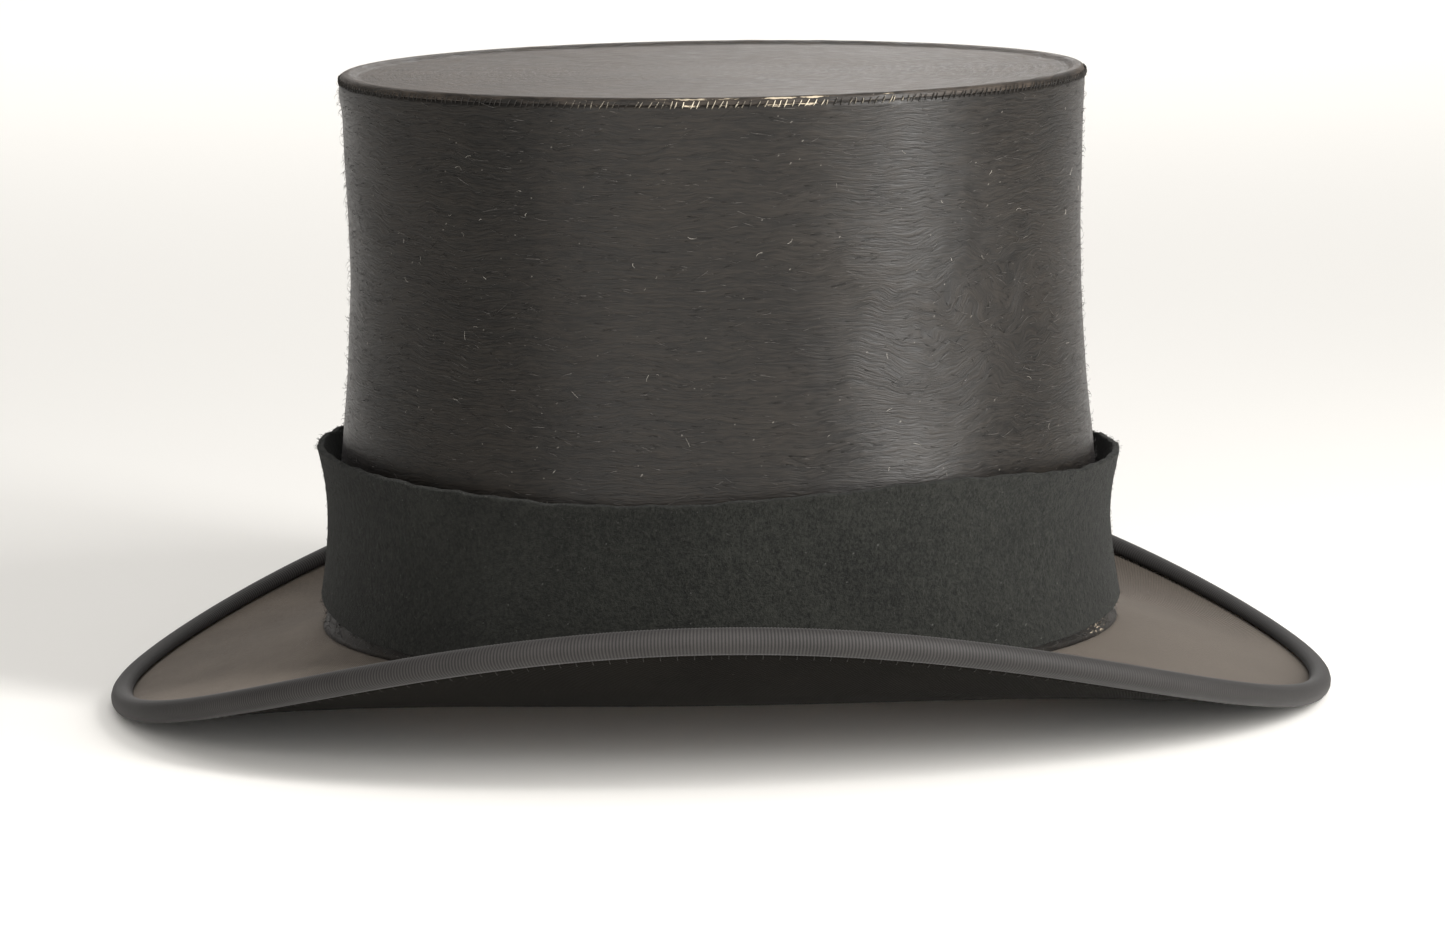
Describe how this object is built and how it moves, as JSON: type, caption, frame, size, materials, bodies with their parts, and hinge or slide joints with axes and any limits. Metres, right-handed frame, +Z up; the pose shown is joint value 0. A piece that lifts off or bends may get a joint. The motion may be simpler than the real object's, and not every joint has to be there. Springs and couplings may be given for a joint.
{
  "type": "top hat",
  "caption": "Tall silk-plush hat with a waisted oval crown, a side-curled ribbon-bound brim, a sweatband, a lining and a loose cloth band.",
  "frame": {"origin": "on the surface that the brim's front and back dips rest on, under the middle of the hat's outline", "axes": "+X to the wearer's front along the hat's length, +Y to the wearer's left, +Z up through the tip"},
  "size_m": [0.308, 0.256, 0.1585],
  "materials": {
    "silk_plush": "brushed silk plush, soft sheen",
    "stiffened_body": "shellac-stiffened calico, matt",
    "linen_tape": "plain woven linen",
    "worn_thread": "worn pale cotton thread",
    "brim_cloth": "fine faded wool twill",
    "under_cloth": "close-cut merino, matt",
    "corded_ribbon": "ribbed grosgrain, low sheen",
    "black_thread": "black cotton thread",
    "sweatband_leather": "smooth worn sheepskin",
    "reed": "rolled leather edge",
    "bow_ribbon": "black silk ribbon",
    "satin_lining": "cream silk satin",
    "band_cloth": "milled wool cloth, raw edges"
  },
  "bodies": {
    "hat": {"crown_side_body": "stiffened_body", "tip_body": "stiffened_body", "brim_body": "stiffened_body", "joining_strip": "linen_tape", "crown_plush": "silk_plush", "tip_plush": "silk_plush", "tip_edge_stitches": "worn_thread", "brim_top_cloth": "brim_cloth", "brim_under_cloth": "under_cloth", "brim_binding": "corded_ribbon", "binding_stitches": "black_thread", "sweatband": "sweatband_leather", "sweatband_reed": "reed", "sweatband_stitches": "worn_thread", "sweatband_bow": "bow_ribbon", "sweatband_bow_knot": "bow_ribbon", "side_lining": "satin_lining", "tip_lining": "satin_lining", "lining_piping": "satin_lining"},
    "band": {"cloth_band": "band_cloth", "band_lap_stitches": "black_thread"}
  },
  "joints": [
    {"name": "band_lift", "type": "slide", "parent": "hat", "child": "band", "axis": [0, 0, 1], "range_m": [0, 0.145]}
  ]
}
